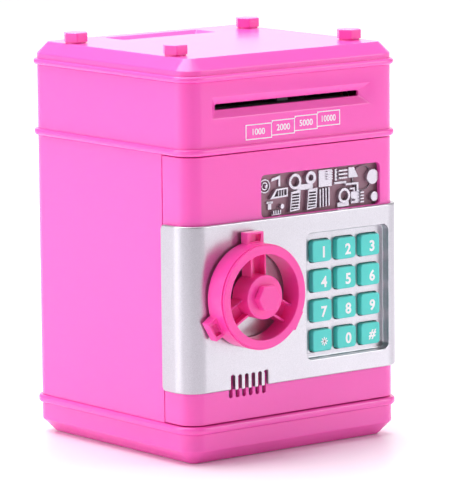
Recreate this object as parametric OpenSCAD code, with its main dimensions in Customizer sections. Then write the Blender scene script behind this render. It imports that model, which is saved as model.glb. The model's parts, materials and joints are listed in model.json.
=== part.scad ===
// Toy safe coin bank: a plastic safe with a hinged front door, a hand wheel that throws
// its bolt, a pad of twelve keys, a banknote slot with a motor feed and a coin slot.
// X runs from left to right, Y from front to back and Z up. The origin is the centre of
// the base's underside.

/* [Body] */
// Width of the body
body_w = 124; // [123:0.5:126]
// Depth of the body
body_d = 120; // [120:0.5:122]
// Radius of the upright corners
corner_r = 9; // [8.5:0.5:10]
// Thickness of the moulded walls
wall = 2.2; // [2:0.1:2.4]
// How far the beads stand out from the walls
bead_out = 1.65; // [1.5:0.05:2]
// Radius of the beads' edges
bead_edge_r = 1.4; // [0.8:0.1:1.4]

/* [Levels] */
// Height of the sloping foot
foot_h = 6.3; // [5.5:0.1:6.5]
// How far the foot slopes in at the bottom
foot_inset = 6.4; // [5.5:0.1:6.5]
// Height of the base tray, up to its bead
tray_h = 14.3; // [14:0.1:14.5]
// Height of the base, where the door and the case start
deck_z = 18; // [17.8:0.1:18]
// Height of the case round the door
case_h = 123.3; // [123:0.1:125]
// Height of the bead over the door
mid_bead_h = 3.3; // [3:0.1:3.5]
// Height of the head over that bead
head_h = 29.9; // [29.5:0.1:32]
// Height of the bead under the lid
lid_bead_h = 2.9; // [2.9:0.1:3.2]
// Height of the upright rim of the lid
lid_rim_h = 2.4; // [2:0.1:3]
// Height and width of the sloping edge of the lid
lid_slope = 5.2; // [4.5:0.1:5.5]

/* [Door] */
// Depth of the door, from its front face to the seam
door_d = 18.5; // [18:0.1:18.5]
// Gap round the door
door_gap = 0.5; // [0.4:0.1:0.6]
// Radius of the door's hinge barrel
barrel_r = 2.2; // [2.1:0.1:2.4]
// Radius of the hinge pins
pin_r = 1.2; // [1:0.1:1.3]
// Left, right, bottom and top of the window
window = [-19.5, 50.8, 110, 129.6];
// Thickness of the silver front plate
plate_t = 2; // [1.6:0.1:2.2]
// Bottom and top of the front plate
plate_z = [33.3, 109.8];
// Left, right, bottom and top of the keypad recess
recess = [5.3, 54.2, 41.8, 100.4];
// Depth of the keypad recess
recess_deep = 4; // [3.8:0.1:4.2]

/* [Keys] */
// Width and height of a key
key_size = [11.2, 10];
// Sideways and upward pitch of the keys
key_pitch = [14.5, 13.93];
// How far the keys stand out of the recess floor
key_proud = 2.6; // [2:0.1:3]
// Travel of a key
key_travel = 1.2; // [0.8:0.1:1.2]

/* [Hand wheel] */
// Sideways place and height of the wheel's axis
wheel_at = [-29.5, 76.5];
// Outer radius of the rim
rim_r = 24.2; // [23:0.1:25]
// Inner radius of the rim
rim_inner_r = 19.6; // [19:0.1:20]
// Depth of the rim, front to back
rim_d = 11.3; // [10:0.1:12]
// Radius of the hub
hub_r = 10.1; // [9.5:0.1:10.5]
// Radius of the wheel's spindle
spindle_r = 3; // [2.8:0.1:3.2]
// Reach of the lock tongue from the spindle
tongue_reach = 28; // [27:0.5:28.5]

/* [Slots] */
// Left, right, bottom and top of the banknote slot
bill_slot = [-44.1, 39.9, 161.2, 163.8];
// Left, right, bottom and top of the funnel round it
bill_funnel = [-47.5, 45, 157.5, 167.2];
// Length and width of the coin slot
coin_slot = [36, 3.8];
// Distance of the coin slot behind the middle
coin_y = 40.5; // [38:0.5:41]
// Number of speaker slots
speaker_slots = 6; // [4:1:6]

/* [Hidden] */
$fn = 64;

pink = [1, 0.45, 0.78];
hot_pink = [1, 0.32, 0.66];
silver = [0.82, 0.83, 0.85];
mint = [0.45, 0.86, 0.82];
steel = [0.7, 0.71, 0.73];
brass = [0.82, 0.68, 0.35];
grey = [0.35, 0.35, 0.38];
board_green = [0.1, 0.42, 0.25];
mauve = [0.5, 0.38, 0.42];

front_y = -body_d / 2;
case_top = deck_z + case_h;
head_top = case_top + mid_bead_h + head_h;
lid_rim_z = head_top + lid_bead_h;
lid_slope_z = lid_rim_z + lid_rim_h;
lid_top = lid_slope_z + lid_slope;
head_floor = case_top + 3;
deck_under = deck_z - wall;

// Door: its rear edge, inner face, liner and the hinge axis
door_back_y = front_y + door_d;
door_inner_y = front_y + wall;
liner_t = 1.8;
liner_y = door_back_y - liner_t;
door_z = [deck_z + door_gap, case_top - door_gap];
hinge_at = [body_w / 2 - barrel_r, door_back_y - barrel_r];
plate_y = front_y - plate_t;
recess_y = plate_y + recess_deep;
recess_floor_t = 1.6;
key_back_y = recess_y + recess_floor_t + 1.4;
board_y = -51.9;
relief_y = front_y + 3;

// Wheel: the back and front of its rim
wheel_back_y = plate_y - 1.2;
wheel_front_y = wheel_back_y - rim_d;
disc_y = -50;
disc_t = 3;
disc_r = 12;
tongue_y = door_back_y + 3.2;
tongue_t = 2;

// Places of the screws, from the middle of the body
base_screw_at = [46, 44];
lid_bolt_at = [51, 38];
case_tab_at = [[-54.3, -30], [54.3, -30], [-54.3, 40], [54.3, 40]];
liner_screw_at = [[-54, 26], [-54, 133], [50, 28], [50, 135.4]];
board_screw_at = [[10, 37.8], [50, 37.8], [10, 104.3], [50, 104.3]];

// Battery bay: half its length, and its front and back
bay_x = 29.5;
bay_y = [5, 50.4];
cell_r = 7.2;
cell_l = 49.5;
cell_z = 10.1;
cover_t = 2;
cover_z = 0.4;
cover_ear_x = 41;
cover_screw_at = [36.5, (bay_y[0] + bay_y[1]) / 2];

// Banknote feed: the shafts' distance back and heights, and the tyres' places
feed_y = -40;
bill_z = (bill_slot[2] + bill_slot[3]) / 2;
nip = 0.2;
feed_r = 6.5;
pinch_r = 4.5;
shaft_r = 1.5;
feed_z = bill_z - nip - feed_r;
pinch_z = bill_z + nip + pinch_r;
bracket_x = [-46, 36.4];
bracket_t = 1.6;
tyre_x = [-34, -9, 16];
tyre_w = 9;
pulley_x = 38.6;
pulley_w = 3.8;
pulley_r = 8;
motor_pulley_r = 3.5;
flange_out = 1.3;
flange_t = 0.4;
belt_t = 1.2;
belt_gap = 0.3;
motor_y = 2;
motor_r = 10;
motor_x = [8, 33];
motor_h = 15.4;
drop = [-42, 36, -31, -16];
lever_at = [-50.5, 167];
chute_in = [38, 8];
chute_t = 1.4;

fit = 0.05;
eps = 0.01;

// ---- Shared shapes ----

// Round-cornered rectangle centred on the origin
module rounded(w, d, r) {
    square([w - 2 * r, d], center = true);
    square([w, d - 2 * r], center = true);
    for (x = [-1, 1], y = [-1, 1])
        translate([x * (w / 2 - r), y * (d / 2 - r)]) circle(r);
}

// Upright block of the body's outline, drawn in by inset
module outline(z, h, inset = 0) {
    translate([0, 0, z])
        linear_extrude(h) rounded(body_w - 2 * inset, body_d - 2 * inset, corner_r - inset);
}

// Upright block of the body's outline whose sides slope in by taper over its height
module slope(h, taper, inset = 0) {
    w = body_w / 2 - inset;
    d = body_d / 2 - inset;
    r = corner_r - inset;
    for (x = [-1, 1], y = [-1, 1])
        translate([x * (w - r), y * (d - r), 0]) cylinder(h = h, r1 = r, r2 = r - taper);
    rotate([90, 0, 90])
        linear_extrude(2 * (w - r), center = true)
            polygon([[-d, 0], [d, 0], [d - taper, h], [taper - d, h]]);
    rotate([90, 0, 0])
        linear_extrude(2 * (d - r), center = true)
            polygon([[-w, 0], [w, 0], [w - taper, h], [taper - w, h]]);
}

// Half of a bead's section, from the middle out to the bead's edge
module bead_section(reach, h) {
    square([reach + bead_out - bead_edge_r, h]);
    translate([0, bead_edge_r]) square([reach + bead_out, h - 2 * bead_edge_r]);
    for (y = [bead_edge_r, h - bead_edge_r])
        translate([reach + bead_out - bead_edge_r, y]) circle(bead_edge_r);
}

// Solid slice of the body with a round-edged bead on its outline
module bead(z, h) {
    w = body_w / 2 - corner_r;
    d = body_d / 2 - corner_r;
    translate([0, 0, z]) {
        for (x = [-1, 1], y = [-1, 1])
            translate([x * w, y * d, 0]) rotate_extrude() bead_section(corner_r, h);
        for (turn = [0, 180]) {
            rotate([90, 0, 90 + turn])
                linear_extrude(2 * w, center = true) bead_section(body_d / 2, h);
            rotate([90, 0, turn])
                linear_extrude(2 * d, center = true) bead_section(body_w / 2, h);
        }
    }
}

// Box between two opposite corners
module box(low, high) {
    translate(low) cube(high - low);
}

// Cylinder along Y from y0 back to y1, at a place given as [x, z]
module along_y(at, r, y0, y1, sides = $fn) {
    translate([at[0], y1, at[1]]) rotate([90, 0, 0]) cylinder(h = y1 - y0, r = r, $fn = sides);
}

// Cylinder along X from x0 to x1, at a place given as [y, z]
module along_x(at, r, x0, x1, sides = $fn) {
    translate([x0, at[0], at[1]]) rotate([0, 90, 0]) cylinder(h = x1 - x0, r = r, $fn = sides);
}

// Round-cornered upright slab between two Y values, round a place given as [x, z]
module slab(at, size, r, y0, y1) {
    translate([at[0], y1, at[1]])
        rotate([90, 0, 0]) linear_extrude(y1 - y0) rounded(size[0], size[1], r);
}

// The same slab for an area given as [left, right, bottom, top], grown by grow
module slab_of(area, grow, r, y0, y1) {
    slab([(area[0] + area[1]) / 2, (area[2] + area[3]) / 2],
         [area[1] - area[0] + 2 * grow, area[3] - area[2] + 2 * grow], r, y0, y1);
}

// One copy of the children at each of the four [x, y] places mirrored about the middle
module at_corners(at) {
    for (x = [-1, 1], y = [-1, 1]) translate([x * at[0], y * at[1], 0]) children();
}

// Pan-headed screw with its head's seat at z = 0 and its shank pointing up
module screw(head_r, head_h, shank_r, shank_l) {
    difference() {
        translate([0, 0, -head_h]) cylinder(h = head_h, r = head_r);
        for (turn = [0, 90])
            rotate([0, 0, turn])
                translate([-head_r * 0.6, -0.3, -head_h - eps]) cube([head_r * 1.2, 0.6, head_h / 2]);
    }
    cylinder(h = shank_l, r = shank_r);
}

// ---- Base ----

// Outside or inside of the tray: a sloping foot under upright walls
module tray_form(floor, inset, taper) {
    translate([0, 0, foot_h]) mirror([0, 0, 1]) slope(foot_h - floor, taper, inset);
    outline(foot_h - eps, tray_h - foot_h + eps, inset);
}

module base_tray() color(pink) {
    frame = 3;
    boss_r = 4.4;
    difference() {
        union() {
            difference() {
                tray_form(0, 0, foot_inset);
                tray_form(wall, wall, foot_inset * (foot_h - wall) / foot_h);
                outline(tray_h - eps, 1, wall);
            }
            box([-bay_x - frame, bay_y[0] - frame, 0], [bay_x + frame, bay_y[1] + frame, tray_h]);
            box([bay_x, cover_screw_at[1] - 7, 0], [cover_ear_x + 2, cover_screw_at[1] + 7, 10]);
            at_corners(base_screw_at) cylinder(h = tray_h, r = boss_r);
        }
        box([-bay_x, bay_y[0], -1], [bay_x, bay_y[1], tray_h + 1]);
        box([-bay_x - 1.3, bay_y[0] - 1.2, -1], [bay_x + 1.3, bay_y[1] + 1.2, cover_z + cover_t]);
        box([bay_x, cover_screw_at[1] - 4.7, -1], [cover_ear_x, cover_screw_at[1] + 4.7, cover_z + cover_t]);
        translate([cover_screw_at[0], cover_screw_at[1], 0]) cylinder(h = 9, r = 1.1);
        at_corners(base_screw_at) {
            translate([0, 0, -1]) cylinder(h = 9, r = 3.2);
            cylinder(h = tray_h + 1, r = 1.7);
        }
    }
}

module base_deck() color(pink) difference() {
    union() {
        difference() {
            bead(tray_h, deck_z - tray_h);
            outline(tray_h - 1, deck_under - tray_h + 1, wall);
        }
        at_corners(base_screw_at) translate([0, 0, tray_h]) cylinder(h = deck_under - tray_h, r = 4.4);
    }
    box([-bay_x, bay_y[0], tray_h - 1], [bay_x, bay_y[1], deck_z + 1]);
    at_corners(base_screw_at) translate([0, 0, tray_h - 1]) cylinder(h = 3.5, r = 1.5);
    for (at = case_tab_at) translate([at[0], at[1], deck_under - 1]) cylinder(h = 4, r = pin_r);
    translate([hinge_at[0], hinge_at[1], tray_h + 1]) cylinder(h = 5, r = pin_r);
}

module base_screws() color(steel) at_corners(base_screw_at)
    translate([0, 0, 8]) screw(2.9, 2.4, 1.5, tray_h - 8 + 2.5);

module battery_cover() color(pink) difference() {
    union() {
        box([-bay_x - 1.1, bay_y[0] - 1, cover_z], [bay_x + 1.1, bay_y[1] + 1, cover_z + cover_t]);
        box([bay_x, cover_screw_at[1] - 4.5, cover_z],
            [cover_ear_x - 0.2, cover_screw_at[1] + 4.5, cover_z + cover_t]);
    }
    translate([cover_screw_at[0], cover_screw_at[1], -1]) cylinder(h = 4, r = 1.3);
    translate([cover_screw_at[0], cover_screw_at[1], cover_z - eps]) cylinder(h = 1 + eps, r = 2.4);
    for (i = [0 : 4]) box([-bay_x + 4 + 2.4 * i, 20, cover_z - eps], [-bay_x + 5.2 + 2.4 * i, 35, cover_z + 0.7]);
}

module battery_cover_screw() color(steel)
    translate([cover_screw_at[0], cover_screw_at[1], cover_z + 1]) screw(2.2, 0.9, 1.1, 6.8);

// Distance back of each cell
function cell_y(i) = bay_y[0] + cell_r + 0.35 + i * (2 * cell_r + 0.7);

module batteries() color(grey) for (i = [0 : 2])
    translate([0, cell_y(i), cell_z]) mirror([i % 2, 0, 0]) {
        along_x([0, 0], cell_r, -cell_l / 2, cell_l / 2);
        along_x([0, 0], 2.7, cell_l / 2, cell_l / 2 + 1);
    }

module battery_contacts() color(steel) for (i = [0 : 2])
    translate([0, cell_y(i), cell_z]) mirror([i % 2, 0, 0]) {
        box([-bay_x, -5, -5], [-bay_x + 0.4, 5, 5]);
        translate([-bay_x + 0.4, 0, 0])
            rotate([0, 90, 0]) cylinder(h = bay_x - 0.4 - cell_l / 2, r1 = 4.2, r2 = 2.6);
        box([bay_x - 0.4, -5, -5], [bay_x, 5, 5]);
        along_x([0, 0], 2.2, cell_l / 2 + 1, bay_x - 0.4);
    }

module floor_panel() color(pink) difference() {
    outline(deck_z, 1.8, wall + 0.4);
    box([-body_w, -body_d, 0], [body_w, door_back_y + 1.2, case_top]);
    for (at = case_tab_at) translate([at[0], at[1], deck_z - 1]) cylinder(h = 4, r = 1.3);
}

// ---- Case ----

// Tab for one case screw, reaching in from the wall at its side
module case_tab(at, z) {
    side = sign(at[0]);
    box([min(side * (body_w / 2 - wall / 2), at[0] - side * 4), at[1] - 4.5, z],
        [max(side * (body_w / 2 - wall / 2), at[0] - side * 4), at[1] + 4.5, z + 2.2]);
}

module case_shell() color(pink) difference() {
    tab_z = [deck_z + 1.8, case_top - 2.2];
    union() {
        difference() {
            outline(deck_z, case_h);
            outline(deck_z - 1, case_h + 2, wall);
        }
        for (at = case_tab_at, z = tab_z) case_tab(at, z);
        box([-body_w / 2 + wall / 2, door_back_y + 0.6, 66], [-54, door_back_y + 2.6, 87]);
    }
    box([-body_w, -body_d, 0], [body_w, door_back_y + door_gap, case_top + 1]);
    box([0, -body_d, 0], [body_w, door_back_y + door_gap + 0.4, case_top + 1]);
    for (at = case_tab_at, z = tab_z) translate([at[0], at[1], z - 1]) cylinder(h = 5, r = 1.3);
}

module case_screws() color(steel) for (at = case_tab_at) translate([at[0], at[1], 0]) {
    translate([0, 0, deck_z + 4]) mirror([0, 0, 1]) screw(2.3, 1.4, pin_r, 6.2);
    translate([0, 0, case_top - 2.2]) screw(2.3, 1.4, pin_r, 4.8);
}

module hinge_pins() color(steel) {
    translate([hinge_at[0], hinge_at[1], tray_h + 1]) cylinder(h = 11, r = pin_r);
    translate([hinge_at[0], hinge_at[1], head_floor - 11]) cylinder(h = 11, r = pin_r);
}

// ---- Head and lid ----

// Four-sided funnel cut, from its mouth on the front face in to the slot
module funnel_cut(mouth, neck, deep) {
    intersection() {
        translate([0, 0, mouth[2] - 1]) linear_extrude(mouth[3] - mouth[2] + 2)
            polygon([[mouth[0], front_y], [mouth[1], front_y],
                     [neck[1], front_y + deep], [neck[0], front_y + deep]]);
        rotate([90, 0, 90]) translate([0, 0, mouth[0] - 1]) linear_extrude(mouth[1] - mouth[0] + 2)
            polygon([[front_y, mouth[2]], [front_y, mouth[3]],
                     [front_y + deep, neck[3]], [front_y + deep, neck[2]]]);
    }
}

module head_shell() color(pink) {
    z = case_top;
    chute = [chute_in[0] / 2 + chute_t + 0.3, chute_in[1] / 2 + chute_t + 0.3];
    difference() {
        union() {
            difference() {
                union() {
                    bead(z, mid_bead_h);
                    outline(z + mid_bead_h - eps, head_h + eps);
                }
                outline(head_floor, head_h + 5, wall);
            }
            slab_of(bill_funnel, 2, 1, front_y + wall - eps, front_y + 4);
            at_corners(lid_bolt_at)
                translate([0, 0, head_floor - eps]) cylinder(h = head_top - head_floor, r = 4.5);
        }
        funnel_cut(bill_funnel, bill_slot, 2.4);
        slab_of(bill_slot, 0, 0.6, front_y, front_y + 5);
        box([drop[0], drop[2], z - 1], [drop[1], drop[3], head_floor + 1]);
        box([-chute[0], coin_y - chute[1], z - 1], [chute[0], coin_y + chute[1], head_floor + 1]);
        at_corners(lid_bolt_at) translate([0, 0, 150]) cylinder(h = 30, r = 2.4);
        for (at = case_tab_at) translate([at[0], at[1], z - 1]) cylinder(h = 3.6, r = pin_r);
        translate([hinge_at[0], hinge_at[1], z - 1]) cylinder(h = 5, r = pin_r);
    }
}

module coin_chute() color(grey) {
    top_z = lid_top - 3.6;
    difference() {
        box([-chute_in[0] / 2 - chute_t, coin_y - chute_in[1] / 2 - chute_t, case_top],
            [chute_in[0] / 2 + chute_t, coin_y + chute_in[1] / 2 + chute_t, top_z]);
        box([-chute_in[0] / 2, coin_y - chute_in[1] / 2, case_top - 1],
            [chute_in[0] / 2, coin_y + chute_in[1] / 2, top_z + 1]);
    }
}

// Bevelled recess round the coin slot, cut down from the lid's top
module coin_recess(deep) {
    x = [-27, 28];
    y = [33, 48];
    run = 3;
    intersection() {
        rotate([90, 0, 0]) linear_extrude(body_d, center = true)
            polygon([[x[0], lid_top], [x[1], lid_top], [x[1] - run, lid_top - deep], [x[0] + run, lid_top - deep]]);
        rotate([90, 0, 90]) linear_extrude(body_w, center = true)
            polygon([[y[0], lid_top], [y[1], lid_top], [y[1] - run, lid_top - deep], [y[0] + run, lid_top - deep]]);
    }
}

module lid() color(pink) {
    deep = 1.6;
    difference() {
        union() {
            difference() {
                union() {
                    bead(head_top, lid_bead_h);
                    outline(lid_rim_z - eps, lid_rim_h + eps);
                    translate([0, 0, lid_slope_z - eps]) slope(lid_slope + eps, lid_slope);
                }
                outline(head_top - 1, lid_slope_z - head_top + 1, wall);
                translate([0, 0, lid_slope_z - eps]) slope(lid_slope - wall, lid_slope - wall, wall);
            }
            box([-30, 30, lid_top - 3.6], [31, 51, lid_top - 1]);
            at_corners(lid_bolt_at)
                translate([0, 0, head_top]) cylinder(h = lid_top - head_top - 1, r = 4.5);
        }
        coin_recess(deep);
        translate([0, coin_y, lid_top - 5]) linear_extrude(6) rounded(coin_slot[0], coin_slot[1], 1);
        at_corners(lid_bolt_at) translate([0, 0, head_top - 1]) cylinder(h = 20, r = 2.5);
    }
}

module lid_bolts() color(pink) at_corners(lid_bolt_at) {
    translate([0, 0, lid_top + 0.7]) cylinder(h = 4.3, r = 6, $fn = 6);
    translate([0, 0, lid_top]) cylinder(h = 1, r = 4.7);
    translate([0, 0, 151]) cylinder(h = lid_top - 151, r = 2.4);
}

// ---- Banknote feed ----

module bill_guide() color(grey) {
    x0 = bracket_x[0] + bracket_t;
    x1 = bracket_x[1];
    bend_r = 14;
    bend_at = [-32, 150];
    difference() {
        union() {
            box([x0, front_y + 4, bill_slot[2] - 1], [x1, feed_y - feed_r - 0.5, bill_slot[2] - 0.2]);
            box([x0, front_y + 4, bill_slot[3] + 0.2], [x1, feed_y - feed_r - 0.5, bill_slot[3] + 1]);
        }
        box([-3.6, front_y, bill_slot[3]], [3.6, 0, bill_slot[3] + 2]);
    }
    intersection() {
        difference() {
            along_x(bend_at, bend_r + 1.2, x0, x1);
            along_x(bend_at, bend_r, x0 - 1, x1 + 1);
        }
        box([x0, bend_at[0], bend_at[1]], [x1, 0, 180]);
    }
}

module roller_brackets() color(steel) for (x = bracket_x) difference() {
    box([x, feed_y - 9, head_floor], [x + bracket_t, feed_y + 24, 172.5]);
    along_x([feed_y, feed_z], shaft_r + fit, x - 1, x + 3);
    along_x([feed_y, pinch_z], shaft_r + fit, x - 1, x + 3);
}

module feed_shaft() color(steel) {
    along_x([feed_y, feed_z], shaft_r, bracket_x[0], pulley_x + pulley_w + 0.6);
    for (x = tyre_x) along_x([feed_y, feed_z], 4, x - tyre_w / 2, x + tyre_w / 2);
}

module feed_tyres() color(grey) for (x = tyre_x) difference() {
    along_x([feed_y, feed_z], feed_r, x - tyre_w / 2, x + tyre_w / 2);
    along_x([feed_y, feed_z], 4, x - tyre_w, x + tyre_w);
}

// Grooved belt pulley on an axis along X
module pulley(at, r, bore_r) {
    difference() {
        union() {
            along_x(at, r, pulley_x, pulley_x + pulley_w);
            for (x = [pulley_x, pulley_x + pulley_w - flange_t]) along_x(at, r + flange_out, x, x + flange_t);
        }
        along_x(at, bore_r, pulley_x - 1, pulley_x + pulley_w + 1);
    }
}

module drive_pulley() color("white") pulley([feed_y, feed_z], pulley_r, shaft_r);

module pinch_shaft() color(steel) along_x([feed_y, pinch_z], shaft_r, bracket_x[0], bracket_x[1] + 2);

module pinch_rollers() color("white") for (x = tyre_x) difference() {
    along_x([feed_y, pinch_z], pinch_r, x - tyre_w / 2, x + tyre_w / 2);
    along_x([feed_y, pinch_z], shaft_r, x - tyre_w, x + tyre_w);
}

module feed_motor() color(steel) difference() {
    union() {
        intersection() {
            along_x([motor_y, feed_z], motor_r, motor_x[0], motor_x[1]);
            box([motor_x[0], motor_y - 20, feed_z - motor_h / 2], [motor_x[1], motor_y + 20, feed_z + motor_h / 2]);
        }
        along_x([motor_y, feed_z], 3, motor_x[1] - eps, motor_x[1] + 1.7);
    }
    along_x([motor_y, feed_z], 1 + fit, motor_x[1] - 8, motor_x[1] + 3);
}

module motor_cradle() color(grey) {
    x = [motor_x[0] + 3, motor_x[1] - 3];
    box([x[0], motor_y - motor_r - 2, head_floor], [x[1], motor_y + motor_r + 2, feed_z - motor_h / 2]);
    for (y = [motor_y - motor_r - 2, motor_y + motor_r])
        box([x[0], y, head_floor], [x[1], y + 2, feed_z + 4]);
}

module motor_pulley() color("white") {
    pulley([motor_y, feed_z], motor_pulley_r, 0.9);
    along_x([motor_y, feed_z], 1, motor_x[1] - 7, pulley_x + pulley_w + 0.4);
}

// Belt outline grown by grow from both pulleys
module belt_form(grow) {
    hull() {
        translate([feed_y, feed_z]) circle(pulley_r + grow, $fn = 48);
        translate([motor_y, feed_z]) circle(motor_pulley_r + grow, $fn = 48);
    }
}

module drive_belt() color(grey)
    translate([pulley_x + flange_t + 0.3, 0, 0]) rotate([90, 0, 90])
        linear_extrude(pulley_w - 2 * flange_t - 0.6) difference() {
            belt_form(belt_gap + belt_t);
            belt_form(belt_gap);
        }

module bill_switch() color(grey) {
    difference() {
        union() {
            box([-7, lever_at[0] - 4, lever_at[1] + 2.2], [7, lever_at[0] + 4, lever_at[1] + 6.5]);
            for (x = [-7, 5]) box([x, lever_at[0] - 2, lever_at[1] - 2], [x + 2, lever_at[0] + 2, lever_at[1] + 3]);
        }
        along_x(lever_at, 1 + fit, -8, 8);
    }
}

module bill_lever() color(mint) {
    along_x(lever_at, 1, -7, 7);
    along_x(lever_at, 1.8, -3, 3);
    box([-3, lever_at[0] - 1, bill_slot[2] + 0.4], [3, lever_at[0] + 1, lever_at[1]]);
}

// ---- Door ----

// Cuts for the speaker slots between two Y values
module speaker_cuts(y0, y1) {
    for (i = [0 : speaker_slots - 1])
        slab([-38.3 + 3.84 * i, 34.65], [2.2, 10.9], 1, y0, y1);
}

module door_shell() color(pink) difference() {
    union() {
        difference() {
            outline(door_z[0], door_z[1] - door_z[0]);
            outline(door_z[0] + wall, door_z[1] - door_z[0] - 2 * wall, wall);
            box([-body_w, door_back_y, 0], [body_w, body_d, case_top]);
            box([hinge_at[0] - barrel_r, hinge_at[1], 0], [body_w, body_d, case_top]);
        }
        translate([hinge_at[0], hinge_at[1], door_z[0]]) cylinder(h = door_z[1] - door_z[0], r = barrel_r);
        along_y(wheel_at, 6.5, door_inner_y - eps, -51);
        for (at = liner_screw_at) along_y(at, 3, door_inner_y - eps, liner_y);
        for (at = board_screw_at) along_y(at, 1.8, door_inner_y - eps, board_y);
    }
    slab_of(window, 0, 2.2, front_y - 1, door_inner_y + 0.5);
    slab_of(recess, recess_floor_t + 0.3, 3, front_y - 1, recess_y + recess_floor_t + 0.3);
    speaker_cuts(front_y - 1, door_inner_y + 1);
    along_y(wheel_at, spindle_r + fit, front_y - 1, -40);
    for (at = liner_screw_at) along_y(at, 1, door_inner_y + 2, 0);
    for (at = board_screw_at) along_y(at, 0.8, door_inner_y + 1, 0);
    for (z = [door_z[0] - 1, door_z[1] - 8.3])
        translate([hinge_at[0], hinge_at[1], z]) cylinder(h = 9.3, r = pin_r + fit);
    box([-body_w, door_back_y - 1.2, 74.8], [-body_w / 2 + wall + 1, 0, 79.2]);
}

module door_liner() color(grey) difference() {
    slab([-1.15, (door_z[0] + door_z[1]) / 2], [116.7, door_z[1] - door_z[0] - 2 * wall - 0.4], 2, liner_y, door_back_y);
    along_y(wheel_at, spindle_r + fit, liner_y - 1, door_back_y + 1);
    for (at = liner_screw_at) {
        along_y(at, 1.2, liner_y - 1, door_back_y + 1);
        along_y(at, 2.4, door_back_y - 1.1, door_back_y + 1);
    }
}

module liner_screws() color(steel) for (at = liner_screw_at)
    translate([at[0], door_back_y - 1.1, at[1]]) rotate([90, 0, 0]) screw(2.2, 1, 1, 9);

// Cut that ends one return of the plate, with its two corners rounded
module plate_end(side) {
    end_y = side < 0 ? door_back_y - 0.5 : hinge_at[1] - 4.3;
    r = 2.5;
    x = [min(0, side * body_w), max(0, side * body_w)];
    box([x[0], end_y, 0], [x[1], body_d, case_top]);
    for (z = plate_z) {
        inward = z == plate_z[0] ? 1 : -1;
        difference() {
            box([x[0], end_y - r, z + min(0, inward * r)], [x[1], end_y + 1, z + max(0, inward * r)]);
            along_x([end_y - r, z + inward * r], r, x[0] - 1, x[1] + 1);
        }
    }
}

module front_plate() color(silver) {
    hole = [12, 11];
    difference() {
        union() {
            difference() {
                outline(plate_z[0], plate_z[1] - plate_z[0], -plate_t);
                outline(0, case_top, -fit);
                for (side = [-1, 1]) plate_end(side);
            }
            slab_of(recess, recess_floor_t, 3, front_y - 0.5, recess_y + recess_floor_t);
        }
        slab_of(recess, 0, 3, plate_y - 1, recess_y);
        for (i = [0 : 11]) slab(key_at(i), hole, 1.6, recess_y - 1, recess_y + recess_floor_t + 1);
        along_y(wheel_at, spindle_r + fit, plate_y - 1, front_y + 1);
        speaker_cuts(plate_y - 1, front_y + 1);
    }
}

// Raised machine picture seen through the window: wheels, vents and pipes on a backing
module window_relief() color(mauve) {
    z0 = window[2];
    high = 1;
    slab_of(window, 2.2, 2, relief_y, relief_y + 1.4);
    difference() {
        slab_of(window, 2.2, 2, door_inner_y, relief_y + eps);
        slab_of(window, 0.6, 2, door_inner_y - 1, relief_y + 1);
    }
    color(silver) {
        for (dial = [[-14, 12, 5.5], [2, 8.5, 6.5], [15, 8, 5.5], [43.5, 11.5, 6]])
            difference() {
                along_y([dial[0], z0 + dial[1]], dial[2], relief_y - high, relief_y + eps);
                along_y([dial[0], z0 + dial[1]], dial[2] * 0.4, relief_y - 2, relief_y - 0.2);
            }
        for (i = [0 : 3]) box([27 + 2 * i, relief_y - high, z0 + 4], [28 + 2 * i, relief_y + eps, z0 + 16]);
    }
}

module keypad_mat() color(grey) {
    slab_of(recess, -1.2, 2, board_y - 1.1, board_y);
    for (i = [0 : 11]) along_y(key_at(i), 4, key_back_y + key_travel + 0.2, board_y - 1);
}

module keypad_board() color(board_green) {
    difference() {
        slab([30, 71], [54, 72], 1, board_y, board_y + 1.6);
        for (at = board_screw_at) along_y(at, 0.9, board_y - 1, board_y + 3);
    }
    color(grey) {
        box([20, board_y + 1.6, 60], [34, board_y + 3.4, 74]);
        box([40, board_y + 1.6, 82], [49, board_y + 3.4, 88]);
        along_y([14, 52], 3, board_y + 1.6, board_y + 7);
    }
}

module board_screws() color(steel) for (at = board_screw_at)
    translate([at[0], board_y + 1.6, at[1]]) rotate([90, 0, 0]) screw(1.7, 1, 0.8, 5);

module speaker() color(grey) {
    at = [-28.7, 34.65];
    along_y(at, 13.2, door_inner_y, door_inner_y + 1);
    translate([at[0], door_inner_y + 6, at[1]]) rotate([90, 0, 0]) cylinder(h = 5, r1 = 8, r2 = 12);
    along_y(at, 7.5, door_inner_y + 6, door_inner_y + 11);
}

module solenoid() color(steel) difference() {
    box([wheel_at[0] - 6, -53.5, 49], [wheel_at[0] + 6, liner_y, 60.4]);
    translate([wheel_at[0], disc_y + disc_t / 2, 50.5]) cylinder(h = 20, r = 1.8 + fit);
}

module solenoid_plunger() color(brass)
    translate([wheel_at[0], disc_y + disc_t / 2, 51]) cylinder(h = wheel_at[1] - disc_r - 0.6 - 51, r = 1.8);

// ---- Lock ----

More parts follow.
